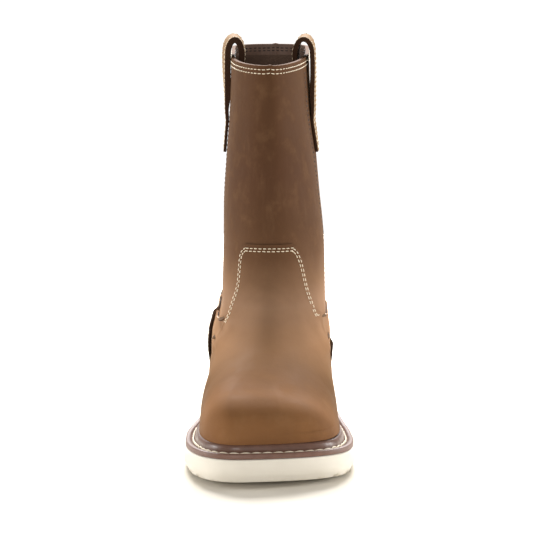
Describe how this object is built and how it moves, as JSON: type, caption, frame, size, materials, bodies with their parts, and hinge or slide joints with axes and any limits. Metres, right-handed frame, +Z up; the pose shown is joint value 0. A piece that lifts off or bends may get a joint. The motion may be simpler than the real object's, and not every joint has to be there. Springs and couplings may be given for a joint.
{
  "type": "wedge sole work boot",
  "caption": "Pull-on work boot with a tall leather shaft, pull loops, stitched storm welt and a light wedge outsole.",
  "frame": {"origin": "on the floor under the middle of the outsole's length, between the heel and the ball", "axes": "+Z up the shaft, -Y to the toe, +Y to the heel, +X to the outer (lateral) side of the left foot"},
  "size_m": [0.1185, 0.3073, 0.285],
  "materials": {
    "outsole": "moulded cream wedge rubber, fine matt skin",
    "welt": "dark brown waxed storm welt with cream lockstitch",
    "leather": "oiled pull-up leather, brown, lighter and golden over the toe",
    "insole": "plain leather sock",
    "strap": "tan leather pull strap with dark cut edges"
  },
  "bodies": {
    "root": {"outsole": "outsole", "welt": "welt", "upper": "leather", "vamp": "leather", "heel_counter": "leather", "insole": "insole", "pull_strap_medial": "strap", "pull_strap_lateral": "strap"}
  },
  "joints": []
}
